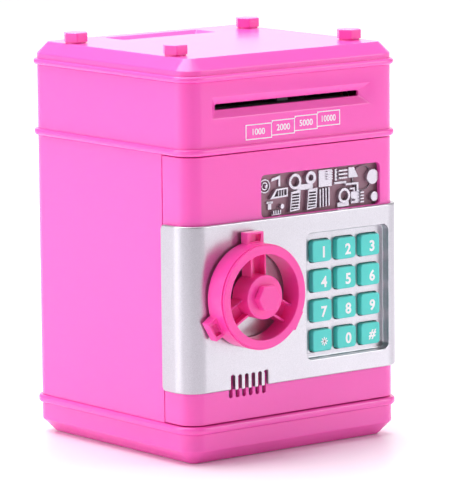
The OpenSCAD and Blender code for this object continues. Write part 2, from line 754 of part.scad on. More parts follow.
module hand_wheel() color(hot_pink) {
    lug_reach = 29;
    lug_w = 9.6;
    lug_front_y = wheel_back_y - 4.8;
    difference() {
        union() {
            difference() {
                union() {
                    along_y(wheel_at, rim_r, wheel_front_y + 1.2, wheel_back_y);
                    along_y(wheel_at, rim_r - 0.6, wheel_front_y, wheel_back_y);
                }
                along_y(wheel_at, rim_inner_r, wheel_front_y - 1, wheel_back_y + 1);
            }
            along_y(wheel_at, hub_r, wheel_front_y, wheel_back_y);
            for (turn = [90, 210, 330]) translate([wheel_at[0], 0, wheel_at[1]]) rotate([0, -turn, 0]) {
                box([hub_r - 1, wheel_back_y - 2.8, -4.5], [rim_inner_r + 0.5, wheel_back_y, 4.5]);
                for (z = [-4.5, 3.5])
                    box([hub_r - 1, wheel_back_y - 6.8, z], [rim_inner_r + 0.5, wheel_back_y, z + 1]);
                difference() {
                    box([rim_r - 1, lug_front_y, -lug_w / 2], [lug_reach, wheel_back_y, lug_w / 2]);
                    box([rim_r + 0.6, lug_front_y - 1, -3], [lug_reach - 0.9, lug_front_y + 2, 3]);
                }
            }
        }
        along_y(wheel_at, spindle_r, wheel_front_y - 1, wheel_back_y + 1);
    }
}

module hub_nut() color(hot_pink) along_y(wheel_at, 6.35, wheel_front_y - 3.6, wheel_front_y, sides = 6);

module spindle() color(steel) along_y(wheel_at, spindle_r, wheel_front_y, tongue_y + tongue_t + 2.4);

module lock_disc() color(grey) difference() {
    union() {
        along_y(wheel_at, disc_r, disc_y, disc_y + disc_t);
        along_y(wheel_at, 6, disc_y, liner_y - 0.5);
    }
    along_y(wheel_at, spindle_r, disc_y - 1, liner_y + 1);
    for (turn = [0, 90]) translate([wheel_at[0], 0, wheel_at[1]]) rotate([0, turn, 0])
        box([-2.3, disc_y - 1, -disc_r - 1], [2.3, disc_y + disc_t + 1, -disc_r + 4]);
}

module lock_tongue() color(steel) difference() {
    union() {
        along_y(wheel_at, 5.5, door_back_y + 0.3, tongue_y + tongue_t);
        box([wheel_at[0] - 4, tongue_y, wheel_at[1]],
            [wheel_at[0] + 4, tongue_y + tongue_t, wheel_at[1] + tongue_reach - 4]);
        along_y([wheel_at[0], wheel_at[1] + tongue_reach - 4], 4, tongue_y, tongue_y + tongue_t);
    }
    along_y(wheel_at, spindle_r, door_back_y - 1, tongue_y + tongue_t + 1);
}

module tongue_nut() color(steel) difference() {
    along_y(wheel_at, 5.2, tongue_y + tongue_t, tongue_y + tongue_t + 2.4, sides = 6);
    along_y(wheel_at, spindle_r, tongue_y, tongue_y + tongue_t + 3);
}

// ---- Keys ----

// Place of key number i, counted along the rows from the top left
function key_at(i) = [15.4 + key_pitch[0] * (i % 3), 91.5 - key_pitch[1] * floor(i / 3)];

module key(i) color(mint) {
    floor_back_y = recess_y + recess_floor_t;
    slab(key_at(i), key_size, 1.5, recess_y - key_proud, floor_back_y + 0.3);
    slab(key_at(i), key_size + [2, 2.2], 1.5, floor_back_y + 0.2, key_back_y);
}

base_tray();
base_deck();
base_screws();
battery_cover();
battery_cover_screw();
batteries();
battery_contacts();
floor_panel();
case_shell();
case_screws();
hinge_pins();
head_shell();
bill_guide();
roller_brackets();
feed_shaft();
feed_tyres();
drive_pulley();
pinch_shaft();
pinch_rollers();
feed_motor();
motor_cradle();
motor_pulley();
drive_belt();
bill_switch();
bill_lever();
coin_chute();
lid();
lid_bolts();
door_shell();
door_liner();
liner_screws();
front_plate();
window_relief();
keypad_mat();
keypad_board();
board_screws();
speaker();
solenoid();
solenoid_plunger();
hand_wheel();
hub_nut();
spindle();
lock_disc();
lock_tongue();
tongue_nut();
key(0);  // key_1
key(1);  // key_2
key(2);  // key_3
key(3);  // key_4
key(4);  // key_5
key(5);  // key_6
key(6);  // key_7
key(7);  // key_8
key(8);  // key_9
key(9);  // key_star
key(10);  // key_0
key(11);  // key_hash
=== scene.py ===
import json
import math

import bmesh
import bpy
from mathutils import Matrix, Vector


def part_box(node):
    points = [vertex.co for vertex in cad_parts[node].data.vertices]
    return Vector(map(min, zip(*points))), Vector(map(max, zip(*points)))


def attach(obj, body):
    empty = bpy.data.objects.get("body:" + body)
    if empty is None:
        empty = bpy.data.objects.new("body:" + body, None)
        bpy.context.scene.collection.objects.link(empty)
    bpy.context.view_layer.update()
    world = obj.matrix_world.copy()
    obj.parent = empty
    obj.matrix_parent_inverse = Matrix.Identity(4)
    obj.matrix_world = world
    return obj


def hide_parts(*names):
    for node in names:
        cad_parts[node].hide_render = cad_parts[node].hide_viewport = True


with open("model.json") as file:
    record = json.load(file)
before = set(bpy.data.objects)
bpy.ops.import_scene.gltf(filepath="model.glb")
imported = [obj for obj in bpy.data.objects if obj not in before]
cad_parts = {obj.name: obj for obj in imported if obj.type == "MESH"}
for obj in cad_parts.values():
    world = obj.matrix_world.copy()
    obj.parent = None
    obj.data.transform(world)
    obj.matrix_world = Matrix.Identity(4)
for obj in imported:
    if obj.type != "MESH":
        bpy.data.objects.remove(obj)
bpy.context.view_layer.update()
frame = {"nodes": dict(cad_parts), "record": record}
mm = 0.001
keyNames = ["1", "2", "3", "4", "5", "6", "7", "8", "9", "star", "0", "hash"]
print("frame loaded")


# shader groups: what more than one material uses

def newGroup(name, inputs, outputs):
    group = bpy.data.node_groups.new(name, "ShaderNodeTree")
    for label, kind, value in inputs:
        socket = group.interface.new_socket(label, in_out="INPUT", socket_type=kind)
        socket.default_value = value
    for label, kind in outputs:
        group.interface.new_socket(label, in_out="OUTPUT", socket_type=kind)
    return group, group.nodes.new("NodeGroupInput"), group.nodes.new("NodeGroupOutput")


def mathNode(tree, operation, a, b):
    node = tree.nodes.new("ShaderNodeMath")
    node.operation = operation
    for socket, value in zip(node.inputs, (a, b)):
        if hasattr(value, "is_linked"):
            tree.links.new(value, socket)
        else:
            socket.default_value = value
    return node.outputs[0]


def noiseNode(tree, coords, scale, detail):
    node = tree.nodes.new("ShaderNodeTexNoise")
    tree.links.new(coords, node.inputs["Vector"])
    if hasattr(scale, "is_linked"):
        tree.links.new(scale, node.inputs["Scale"])
    else:
        node.inputs["Scale"].default_value = scale
    node.inputs["Detail"].default_value = detail
    return node.outputs["Fac"]


def makeMouldSkin():
    # tool-polished plastic: a slight ripple, patchy gloss and faint flow shading
    group, taken, given = newGroup(
        "mouldSkin",
        [("Colour", "NodeSocketColor", (1, 1, 1, 1)), ("Shade", "NodeSocketFloat", 0.04),
         ("Roughness", "NodeSocketFloat", 0.3), ("Patchiness", "NodeSocketFloat", 0.06),
         ("Grain Scale", "NodeSocketFloat", 900.0)],
        [("Colour", "NodeSocketColor"), ("Roughness", "NodeSocketFloat"),
         ("Height", "NodeSocketFloat")])
    coords = group.nodes.new("ShaderNodeTexCoord").outputs["Object"]
    flow = noiseNode(group, coords, 14, 2)
    gloss = noiseNode(group, coords, 55, 3)
    grain = noiseNode(group, coords, taken.outputs["Grain Scale"], 3)
    ripple = noiseNode(group, coords, 45, 1)
    shade = mathNode(group, "SUBTRACT", flow, 0.5)
    shade = mathNode(group, "MULTIPLY", shade, taken.outputs["Shade"])
    bright = group.nodes.new("ShaderNodeHueSaturation")
    group.links.new(mathNode(group, "ADD", shade, 1.0), bright.inputs["Value"])
    group.links.new(taken.outputs["Colour"], bright.inputs["Color"])
    group.links.new(bright.outputs["Color"], given.inputs["Colour"])
    patch = mathNode(group, "SUBTRACT", gloss, 0.5)
    patch = mathNode(group, "MULTIPLY", patch, taken.outputs["Patchiness"])
    patch = mathNode(group, "ADD", patch, taken.outputs["Roughness"])
    group.links.new(patch, given.inputs["Roughness"])
    height = mathNode(group, "ADD", mathNode(group, "MULTIPLY", grain, 0.3), ripple)
    group.links.new(height, given.inputs["Height"])
    return group


def makeHandledWear():
    # fine rubbed scratches that lighten the colour and dull the gloss
    group, taken, given = newGroup(
        "handledWear",
        [("Colour", "NodeSocketColor", (1, 1, 1, 1)), ("Amount", "NodeSocketFloat", 0.2),
         ("Roughness", "NodeSocketFloat", 0.3)],
        [("Colour", "NodeSocketColor"), ("Roughness", "NodeSocketFloat")])
    coords = group.nodes.new("ShaderNodeTexCoord").outputs["Object"]
    stretch = group.nodes.new("ShaderNodeMapping")
    stretch.inputs["Scale"].default_value = (1, 1, 9)
    stretch.inputs["Rotation"].default_value = (0.3, 0.6, 0)
    group.links.new(coords, stretch.inputs["Vector"])
    lines = noiseNode(group, stretch.outputs["Vector"], 240, 2)
    ramp = group.nodes.new("ShaderNodeMapRange")
    ramp.inputs["From Min"].default_value = 0.64
    ramp.inputs["From Max"].default_value = 0.78
    group.links.new(lines, ramp.inputs["Value"])
    rubbed = mathNode(group, "MULTIPLY", ramp.outputs["Result"], taken.outputs["Amount"])
    mix = group.nodes.new("ShaderNodeMix")
    mix.data_type = "RGBA"
    mix.inputs["B"].default_value = (1, 1, 1, 1)
    group.links.new(mathNode(group, "MULTIPLY", rubbed, 0.25), mix.inputs["Factor"])
    group.links.new(taken.outputs["Colour"], mix.inputs["A"])
    group.links.new(mix.outputs["Result"], given.inputs["Colour"])
    rough = mathNode(group, "ADD", rubbed, taken.outputs["Roughness"])
    group.links.new(rough, given.inputs["Roughness"])
    return group


mouldSkin = makeMouldSkin()
handledWear = makeHandledWear()


def plastic(name, colour, rough, shade=0.05, wear=0.12, patchy=0.06, grain=900.0, bump=0.02,
            coat=0.0, glow=0.0, metal=0.0):
    material = bpy.data.materials.new(name)
    material.use_nodes = True
    tree = material.node_tree
    shader = tree.nodes["Principled BSDF"]
    skin = tree.nodes.new("ShaderNodeGroup")
    skin.node_tree = mouldSkin
    skin.inputs["Colour"].default_value = (*colour, 1)
    skin.inputs["Shade"].default_value = shade
    skin.inputs["Roughness"].default_value = rough
    skin.inputs["Patchiness"].default_value = patchy
    skin.inputs["Grain Scale"].default_value = grain
    worn = tree.nodes.new("ShaderNodeGroup")
    worn.node_tree = handledWear
    worn.inputs["Amount"].default_value = wear
    tree.links.new(skin.outputs["Colour"], worn.inputs["Colour"])
    tree.links.new(skin.outputs["Roughness"], worn.inputs["Roughness"])
    tree.links.new(worn.outputs["Colour"], shader.inputs["Base Color"])
    tree.links.new(worn.outputs["Roughness"], shader.inputs["Roughness"])
    relief = tree.nodes.new("ShaderNodeBump")
    relief.inputs["Strength"].default_value = 0.5
    relief.inputs["Distance"].default_value = bump * mm
    tree.links.new(skin.outputs["Height"], relief.inputs["Height"])
    tree.links.new(relief.outputs["Normal"], shader.inputs["Normal"])
    shader.inputs["Coat Weight"].default_value = coat
    shader.inputs["Coat Roughness"].default_value = 0.12
    shader.inputs["Metallic"].default_value = metal
    if glow:  # light that soaks into the translucent pink
        shader.inputs["Subsurface Weight"].default_value = glow
        shader.inputs["Subsurface Radius"].default_value = (1.0, 0.25, 0.45)
        shader.inputs["Subsurface Scale"].default_value = 3 * mm
    return material


def flakeLacquer(name, colour, rough, metal):
    # silver paint: tiny flakes that each catch the light a little differently
    material = plastic(name, colour, rough, shade=0.04, wear=0.06, grain=1500.0, bump=0.01,
                       metal=metal)
    tree = material.node_tree
    shader = tree.nodes["Principled BSDF"]
    coords = tree.nodes.new("ShaderNodeTexCoord").outputs["Object"]
    flakes = tree.nodes.new("ShaderNodeTexVoronoi")
    flakes.inputs["Scale"].default_value = 4200
    tree.links.new(coords, flakes.inputs["Vector"])
    tint = tree.nodes.new("ShaderNodeMapRange")
    tint.inputs["To Min"].default_value = 0.86
    tint.inputs["To Max"].default_value = 1.08
    tree.links.new(flakes.outputs["Color"], tint.inputs["Value"])
    mix = tree.nodes.new("ShaderNodeMix")
    mix.data_type = "RGBA"
    mix.blend_type = "MULTIPLY"
    mix.inputs["Factor"].default_value = 1.0
    tree.links.new(shader.inputs["Base Color"].links[0].from_socket, mix.inputs["A"])
    tree.links.new(tint.outputs["Result"], mix.inputs["B"])
    tree.links.new(mix.outputs["Result"], shader.inputs["Base Color"])
    return material


# what both pinks share
glossyShell = {"shade": 0.03, "wear": 0.0, "patchy": 0.01, "bump": 0.005, "glow": 0.12}
finishes = {
    "pinkShell": plastic("pinkShell", (0.97, 0.095, 0.505), 0.27, coat=0.3, **glossyShell),
    "hotPinkGrip": plastic("hotPinkGrip", (0.96, 0.055, 0.40), 0.33, coat=0.25, **glossyShell),
    "silverLacquer": flakeLacquer("silverLacquer", (0.56, 0.55, 0.585), 0.3, 0.92),
    "silverFoil": flakeLacquer("silverFoil", (0.60, 0.57, 0.63), 0.28, 0.85),
    "mintKeycap": plastic("mintKeycap", (0.09, 0.70, 0.63), 0.4, wear=0.1, glow=0.08),
    "whiteInk": plastic("whiteInk", (0.95, 0.95, 0.95), 0.5, bump=0.005),
    "mauveBacking": plastic("mauveBacking", (0.30, 0.15, 0.20), 0.35, shade=0.5),
    "slateMoulding": plastic("slateMoulding", (0.10, 0.10, 0.115), 0.5),
    "milkMoulding": plastic("milkMoulding", (0.82, 0.82, 0.8), 0.45),
    "blackRubber": plastic("blackRubber", (0.02, 0.02, 0.022), 0.75, grain=400.0, bump=0.05),
    "zincSteel": plastic("zincSteel", (0.6, 0.61, 0.63), 0.3, wear=0.3, metal=1.0),
    "plainBrass": plastic("plainBrass", (0.72, 0.52, 0.22), 0.3, wear=0.3, metal=1.0),
    "boardLacquer": plastic("boardLacquer", (0.02, 0.2, 0.08), 0.3, coat=0.4),
}
print("finishes mixed")


# small building blocks

def addPiece(name, mesh, body, finish):
    piece = bpy.data.objects.new(name, mesh)
    bpy.context.scene.collection.objects.link(piece)
    if finish:
        mesh.materials.clear()
        mesh.materials.append(finishes[finish])
    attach(piece, body)
    return piece


def smoothFaces(mesh):
    mesh.polygons.foreach_set("use_smooth", [True] * len(mesh.polygons))


softAngle = math.radians(28)  # an edge that turns more than this can be rounded
crowdedFace = 500  # a face with this many corners is left alone
roomPerWidth = 2.4  # flat needed beside an edge, in widths of its rounding
weldDistance = 0.03 * mm
flatAngle = math.radians(0.6)
creaseAngle = math.radians(35)  # where the shading of a drawn shape breaks
parallelSpan = 1e-9  # an edge that advances less than this runs straight in
touchingReach = 1e-7  # an edge nearer than this starts at the edge itself


def softenEdges(piece, width, segments=3):
    bevel = piece.modifiers.new("softEdges", "BEVEL")
    bevel.width = width * mm
    bevel.segments = segments
    bevel.limit_method = "ANGLE"
    bevel.angle_limit = softAngle
    bevel.use_clamp_overlap = False
    bevel.harden_normals = True
    bevel.miter_outer = "MITER_ARC"
    return bevel


def bodyOf(node):
    for body, nodes in frame["record"]["behaviour"]["bodies"].items():
        if node in nodes:
            return body


def clearWidth(face, edge):
    # how far the face reaches straight in from the middle of one of its edges
    a, b = (v.co for v in edge.verts)
    middle = (a + b) / 2
    along = (b - a).normalized()
    inward = face.normal.cross(along)
    nearest = 1.0
    for other in face.edges:
        if other is edge:
            continue
        p, q = (v.co - middle for v in other.verts)
        u, v = p.dot(along), q.dot(along)
        if u * v > 0 or abs(u - v) < parallelSpan:
            continue
        reach = abs(p.dot(inward) + (q.dot(inward) - p.dot(inward)) * u / (u - v))
        if reach > touchingReach:
            nearest = min(nearest, reach)
    return nearest


def softEdgeNumbers(shape, width, shortest):
    # the sharp edges with room for a rounding on both sides, in chains that aren't short
    room = roomPerWidth * width * mm

    def roomy(face, edge):
        return len(face.verts) < crowdedFace and clearWidth(face, edge) > room

    left = {e.index: e for e in shape.edges
            if len(e.link_faces) == 2 and e.calc_face_angle(0) > softAngle
            and all(roomy(face, e) for face in e.link_faces)}
    kept = set()
    while left:
        chain = [left.pop(next(iter(left)))]
        for edge in chain:
            for vert in edge.verts:
                chain += [left.pop(e.index) for e in vert.link_edges if e.index in left]
        if sum(e.calc_length() for e in chain) > shortest * mm:
            kept.update(e.index for e in chain)
    return kept


def mouldedCopy(node, name, finish, edge, segments=3, shortest=25):
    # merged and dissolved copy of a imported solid, with the rounded edges that moulding leaves
    mesh = frame["nodes"][node].data.copy()
    shape = bmesh.new()
    shape.from_mesh(mesh)
    bmesh.ops.remove_doubles(shape, verts=shape.verts, dist=weldDistance)
    bmesh.ops.dissolve_limit(shape, angle_limit=flatAngle, verts=shape.verts, edges=shape.edges,
                             delimit={"NORMAL"})
    shape.edges.index_update()
    soft = softEdgeNumbers(shape, edge, shortest)
    sharp = {e.index for e in shape.edges if e.calc_face_angle(0) > softAngle} - soft
    shape.to_mesh(mesh)
    shape.free()
    mesh.name = name
    for layer in list(mesh.attributes):
        if layer.name in ("custom_normal", "sharp_edge", "sharp_face"):
            mesh.attributes.remove(layer)
    smoothFaces(mesh)
    weights = mesh.attributes.new("bevel_weight_edge", "FLOAT", "EDGE")
    weights.data.foreach_set("value", [float(i in soft) for i in range(len(mesh.edges))])
    creases = mesh.attributes.new("sharp_edge", "BOOLEAN", "EDGE")
    creases.data.foreach_set("value", [i in sharp for i in range(len(mesh.edges))])
    piece = addPiece(name, mesh, bodyOf(node), finish)
    softenEdges(piece, edge, segments).limit_method = "WEIGHT"
    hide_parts(node)
    return piece


# shells, trims and grips that show

shownShells = {
    "base_tray": ("footTray", "pinkShell", 0.35),
    "base_deck": ("footBead", "pinkShell", 0.25),
    "case_shell": ("safeCase", "pinkShell", 0.35),
    "head_shell": ("headShell", "pinkShell", 0.35),
    "lid": ("lidShell", "pinkShell", 0.45),
    "lid_bolts": ("lidBolts", "pinkShell", 0.45),
    "door_shell": ("frontDoor", "pinkShell", 0.35),
    "front_plate": ("silverPlate", "silverLacquer", 0.7),
    "hand_wheel": ("handWheel", "hotPinkGrip", 0.4),
    "hub_nut": ("hubNut", "hotPinkGrip", 0.5),
    "door_liner": ("doorLiner", "slateMoulding", 0.3),
    "lock_tongue": ("lockTongue", "zincSteel", 0.25),
}
for node, (name, finish, edge) in shownShells.items():
    mouldedCopy(node, name, finish, edge)
flangeThick = 1.5 * mm
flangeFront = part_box("key_1")[1][1] - flangeThick
for label in keyNames:
    cap = mouldedCopy("key_" + label, "keycap_" + label, "mintKeycap", 0.5, segments=4, shortest=12)
    # painted shade: a black second finish for the back of each key, darkening the gap round it
    cap.data.materials.append(finishes["blackRubber"])
    for face in cap.data.polygons:  # painted shade: the flange behind the plate is made black so the gap round each key reads dark
        if face.center.y > flangeFront:
            face.material_index = 1
print("shells softened")

innerFinishes = {
    "floor_panel": "pinkShell", "battery_cover": "pinkShell",
    "coin_chute": "slateMoulding", "bill_guide": "slateMoulding",
    "motor_cradle": "slateMoulding", "bill_switch": "slateMoulding", "speaker": "slateMoulding",
    "lock_disc": "slateMoulding", "batteries": "slateMoulding", "drive_pulley": "milkMoulding",
    "pinch_rollers": "milkMoulding", "motor_pulley": "milkMoulding", "feed_tyres": "blackRubber",
    "drive_belt": "blackRubber", "keypad_mat": "blackRubber", "base_screws": "zincSteel",
    "battery_cover_screw": "zincSteel", "battery_contacts": "zincSteel", "case_screws": "zincSteel",
    "hinge_pins": "zincSteel", "roller_brackets": "zincSteel", "feed_shaft": "zincSteel",
    "pinch_shaft": "zincSteel", "feed_motor": "zincSteel", "liner_screws": "zincSteel",
    "board_screws": "zincSteel", "solenoid": "zincSteel", "spindle": "zincSteel",
    "tongue_nut": "zincSteel", "solenoid_plunger": "plainBrass", "keypad_board": "boardLacquer",
    "bill_lever": "slateMoulding",
}
for node, finish in innerFinishes.items():
    slots = frame["nodes"][node].data.materials
    if not slots:
        slots.append(finishes[finish])
    for i in range(len(slots)):
        slots[i] = finishes[finish]
print("inner parts finished")


def bakedMesh(holder):
    # the mesh that an object's text or modifiers give, after which the object goes
    bpy.context.scene.collection.objects.link(holder)
    bpy.context.view_layer.update()
    ready = holder.evaluated_get(bpy.context.evaluated_depsgraph_get())
    mesh = bpy.data.meshes.new_from_object(ready)
    bpy.data.objects.remove(holder)
    return mesh


# digits and signs on the keys

def glyphMesh(text, height, thick, bold=0.0, lean=0.0):
    # one line of text as a flat solid in X and Z, centred on the origin, its face towards -Y
    curve = bpy.data.curves.new("glyph", "FONT")
    curve.body = text
    curve.size = 1.0
    curve.resolution_u = 6
    curve.offset = bold
    curve.shear = lean
    curve.extrude = 0.5
    mesh = bakedMesh(bpy.data.objects.new("glyph", curve))
    bpy.data.curves.remove(curve)
    xs = [v.co.x for v in mesh.vertices]
    ys = [v.co.y for v in mesh.vertices]
    scale = height / (max(ys) - min(ys))
    middle = Vector(((max(xs) + min(xs)) / 2, (max(ys) + min(ys)) / 2, 0))
    place = Matrix.Rotation(math.radians(90), 4, "X") @ Matrix.Diagonal((scale, scale, thick, 1))
    mesh.transform(place @ Matrix.Translation(-middle))
    return mesh


keyPrint = {
    "height": 5.2 * mm, "thick": 0.12 * mm, "aside": 1.0 * mm, "down": 0.5 * mm, "bold": 0.03,
}
signs = {"hash": ("#", 4.6 * mm, 0.25)}
starShape = {"arms": 4, "length": 4.0, "width": 0.55}


def starMesh(p):
    # a star of crossed bars, centred on the origin
    shape = bmesh.new()
    for i in range(p["arms"]):
        bar = bmesh.ops.create_cube(shape, size=1)["verts"]
        size = (p["width"] * mm, keyPrint["thick"], p["length"] * mm)
        spin = Matrix.Rotation(math.pi * i / p["arms"], 4, "Y")
        bmesh.ops.transform(shape, verts=bar, matrix=spin @ Matrix.Diagonal((*size, 1)))
    mesh = bpy.data.meshes.new("star")
    shape.to_mesh(mesh)
    shape.free()
    return mesh


for label in keyNames:
    text, height, lean = signs.get(label, (label, keyPrint["height"], 0.0))
    if label == "star":
        mesh = starMesh(starShape)
    else:
        mesh = glyphMesh(text, height, keyPrint["thick"], keyPrint["bold"], lean)
    low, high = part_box("key_" + label)
    mesh.transform(Matrix.Translation(((low[0] + high[0]) / 2 + keyPrint["aside"], low[1],
                                       (low[2] + high[2]) / 2 - keyPrint["down"])))
    addPiece("keyPrint_" + label, mesh, "key_" + label, "whiteInk")
print("keys printed")


# flat shapes standing on a wall that faces -Y: points are (x, z) pairs in millimetres

def prism(shape, points, back, front, holes=()):
    rings = [points, *holes]
    edges = []
    for ring in rings:
        verts = [shape.verts.new((x * mm, front * mm, z * mm)) for x, z in ring]
        edges += [shape.edges.new((verts[i - 1], verts[i])) for i in range(len(verts))]
    made = bmesh.ops.triangle_fill(shape, use_beauty=True, use_dissolve=False, edges=edges,
                                   normal=(0, -1, 0))
    faces = [g for g in made["geom"] if isinstance(g, bmesh.types.BMFace)]
    grown = bmesh.ops.extrude_face_region(shape, geom=faces)
    verts = [g for g in grown["geom"] if isinstance(g, bmesh.types.BMVert)]
    bmesh.ops.translate(shape, verts=verts, vec=(0, (back - front) * mm, 0))


def rectangle(left, right, bottom, top):
    return [(left, bottom), (right, bottom), (right, top), (left, top)]


def circle(x, z, r, sides=36):
    return [(x + r * math.cos(2 * math.pi * i / sides), z + r * math.sin(2 * math.pi * i / sides))
            for i in range(sides)]


def finishShape(shape, name, body, finish, edge=0.0):
    bmesh.ops.recalc_face_normals(shape, faces=shape.faces)
    mesh = bpy.data.meshes.new(name)
    shape.to_mesh(mesh)
    shape.free()
    smoothFaces(mesh)
    mesh.set_sharp_from_angle(angle=creaseAngle)
    piece = addPiece(name, mesh, body, finish)
    if edge:
        softenEdges(piece, edge, segments=2)
    return piece


# note values printed over the door: four stepped frames with plain numbers

notePrint = {
    "left": -28.4, "bottom": 146.4, "width": 15.2, "height": 7.0, "line": 0.42,
    "across": 13.4, "up": 0.9, "thick": 0.08, "sunk": 0.02,
    "values": ["1000", "2000", "5000", "10000"], "digits": 2.9, "bold": 0.012, "lastNarrower": 0.9,
    "wallBehind": 1.65,  # how far the wall lies behind the beads of the head
}


def printNoteValues(p):
    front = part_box("head_shell")[0][1] / mm + p["wallBehind"]
    shape = bmesh.new()
    for i, value in enumerate(p["values"]):
        left = p["left"] + i * p["across"]
        right = left + p["width"]
        bottom = p["bottom"] + i * p["up"]
        top = bottom + p["height"]
        start = left if i == 0 else left + p["width"] - p["across"]
        line = p["line"]
        bars = [rectangle(start, right, bottom, bottom + line),
                rectangle(start, right, top - line, top),
                rectangle(right - line, right, bottom + line, top - line)]
        if i == 0:
            bars.append(rectangle(left, left + line, bottom + line, top - line))
        else:  # the part of the left side that shows above the frame before it
            bars.append(rectangle(start, start + line, top - p["up"] - line * 0.2, top - line))
        for bar in bars:
            prism(shape, bar, front + p["sunk"], front - p["thick"])
        mesh = glyphMesh(value, p["digits"] * mm, p["thick"] * mm, p["bold"])
        last = i == len(p["values"]) - 1
        mesh.transform(Matrix.Diagonal((p["lastNarrower"] if last else 1.0, 1, 1, 1)))
        middle = ((start + right) / 2 * mm, front * mm, (bottom + top) / 2 * mm)
        mesh.transform(Matrix.Translation(middle))
        addPiece("noteNumber_" + value, mesh, "bank", "whiteInk")
    finishShape(shape, "noteFrames", "bank", "whiteInk")


printNoteValues(notePrint)
print("note values printed")


# moulded machine picture behind the window

reliefPlace = {
    "left": -19.5, "bottom": 110.0, "ground": -57.0, "back": -55.7,
    # how far the tall parts stand out, and the low parts' share of it
    "high": 1.9, "lowShare": 0.45,
    "backing": (-2.8, 73.1, -2.8, 22.4),  # left, right, bottom and top
}


def finRow(name, count, start, pitch, size, body, finish):
    # count equal fins in a row, each a box of the given size with its low corner stepped by pitch
    tree = bpy.data.node_groups.new(name + "Row", "GeometryNodeTree")
    sockets = [("Count", "NodeSocketInt", count), ("Start", "NodeSocketVector", start),
               ("Pitch", "NodeSocketVector", pitch), ("Size", "NodeSocketVector", size)]
    for label, kind, value in sockets:
        socket = tree.interface.new_socket(label, in_out="INPUT", socket_type=kind)
        socket.default_value = value
    tree.interface.new_socket("Geometry", in_out="OUTPUT", socket_type="NodeSocketGeometry")
    taken = tree.nodes.new("NodeGroupInput")
    given = tree.nodes.new("NodeGroupOutput")
    line = tree.nodes.new("GeometryNodeMeshLine")
    block = tree.nodes.new("GeometryNodeMeshCube")
    spread = tree.nodes.new("GeometryNodeInstanceOnPoints")
    real = tree.nodes.new("GeometryNodeRealizeInstances")
    dress = tree.nodes.new("GeometryNodeSetMaterial")
    dress.inputs["Material"].default_value = finishes[finish]
    joins = [
        (taken.outputs["Count"], line.inputs["Count"]),
        (taken.outputs["Start"], line.inputs["Start Location"]),
        (taken.outputs["Pitch"], line.inputs["Offset"]),
        (taken.outputs["Size"], block.inputs["Size"]),
        (line.outputs["Mesh"], spread.inputs["Points"]),
        (block.outputs["Mesh"], spread.inputs["Instance"]),
        (spread.outputs["Instances"], real.inputs["Geometry"]),
        (real.outputs["Geometry"], dress.inputs["Geometry"]),
        (dress.outputs["Geometry"], given.inputs[0]),
    ]
    for a, b in joins:
        tree.links.new(a, b)
    seed = bpy.data.objects.new(name + "Seed", bpy.data.meshes.new(name + "Seed"))
    seed.modifiers.new("row", "NODES").node_group = tree
    mesh = bakedMesh(seed)
    mesh.name = name
    piece = addPiece(name, mesh, body, finish)
    softenEdges(piece, 0.08, segments=2)
    return piece


# shapes as (across, up) in millimetres from the window's lower left corner
reliefShapes = {
    "tallRings": [(20.7, 14.8, 3.7, 2.3), (30.0, 15.8, 3.1, 1.4), (49.9, 5.6, 3.6, 2.2)],
    "lowRings": [(3.6, 14.1, 3.3, 2.6), (3.6, 14.1, 1.9, 1.2), (61.5, 12.8, 5.9, 5.5)],
    "discs": [(67.0, 13.0, 3.6), (68.0, 3.6, 2.3), (13.0, 4.1, 1.2), (3.6, 14.1, 0.7),
              (55.8, 3.0, 0.7)],
    "lowPlates": [
        (22.5, 32.0, 10.4, 13.0), (46.4, 53.5, 0.4, 2.6), (35.4, 43.4, 10.6, 18.6),
        (45.0, 46.4, 12.8, 18.4), (54.6, 59.8, 1.2, 7.0), (5.4, 7.4, 3.0, 6.6),
        (4.6, 8.4, 5.8, 6.8), (7.4, 12.6, 0.3, 1.3), (44.6, 52.0, 11.2, 12.2),
    ],
    "lowBrackets": [
        [(7.4, 17.2), (12.8, 18.4), (12.8, 13.2), (11.6, 13.2), (11.6, 16.6), (7.4, 15.8)],
        [(53.2, 13.4), (59.2, 13.4), (56.6, 18.4), (53.2, 18.4)],
    ],
    "tallPipes": [
        [(50.6, 10.2), (50.6, 11.2), (58.4, 11.2), (58.4, 6.9), (57.2, 6.9), (57.2, 10.2)],
        [(53.0, 8.0), (53.0, 8.9), (56.2, 8.9), (56.2, 6.9), (55.3, 6.9), (55.3, 8.0)],
    ],
    "cellFrame": ([(5.6, 7.9), (16.4, 8.4), (16.4, 12.6), (9.4, 12.4)],
                  [(8.4, 8.9), (15.5, 9.2), (15.5, 11.8), (10.0, 11.6)]),
    "ventFrame": ([(0.0, 0.9), (5.8, 1.5), (6.6, 10.9), (0.9, 10.2)],
                  [(0.8, 1.8), (5.0, 2.3), (5.6, 10.0), (1.6, 9.4)]),
    "ventLefts": [17.4, 27.4],
    "rows": [  # name, count, first middle, pitch, size
        ("ventFinsLeft", 6, (20.4, 2.8), (0.12, 1.35), (4.4, 0.6)),
        ("ventFinsRight", 6, (30.4, 2.8), (0.12, 1.35), (4.4, 0.6)),
        ("cellBars", 3, (10.9, 10.4), (1.5, 0.05), (0.5, 2.8)),
        ("coolingBars", 4, (35.4, 5.8), (1.75, 0.1), (0.75, 8.6)),
        ("grilleLines", 4, (41.4, 14.2), (0, 1.15), (3.2, 0.5)),
        ("pipePair", 3, (49.2, 14.0), (0, 1.7), (5.2, 0.8)),
        ("edgeFins", 4, (60.6, 1.8), (0, 1.45), (2.2, 0.75)),
        ("combTeeth", 4, (7.9, 1.7), (1.35, 0), (0.6, 1.9)),
    ],
}


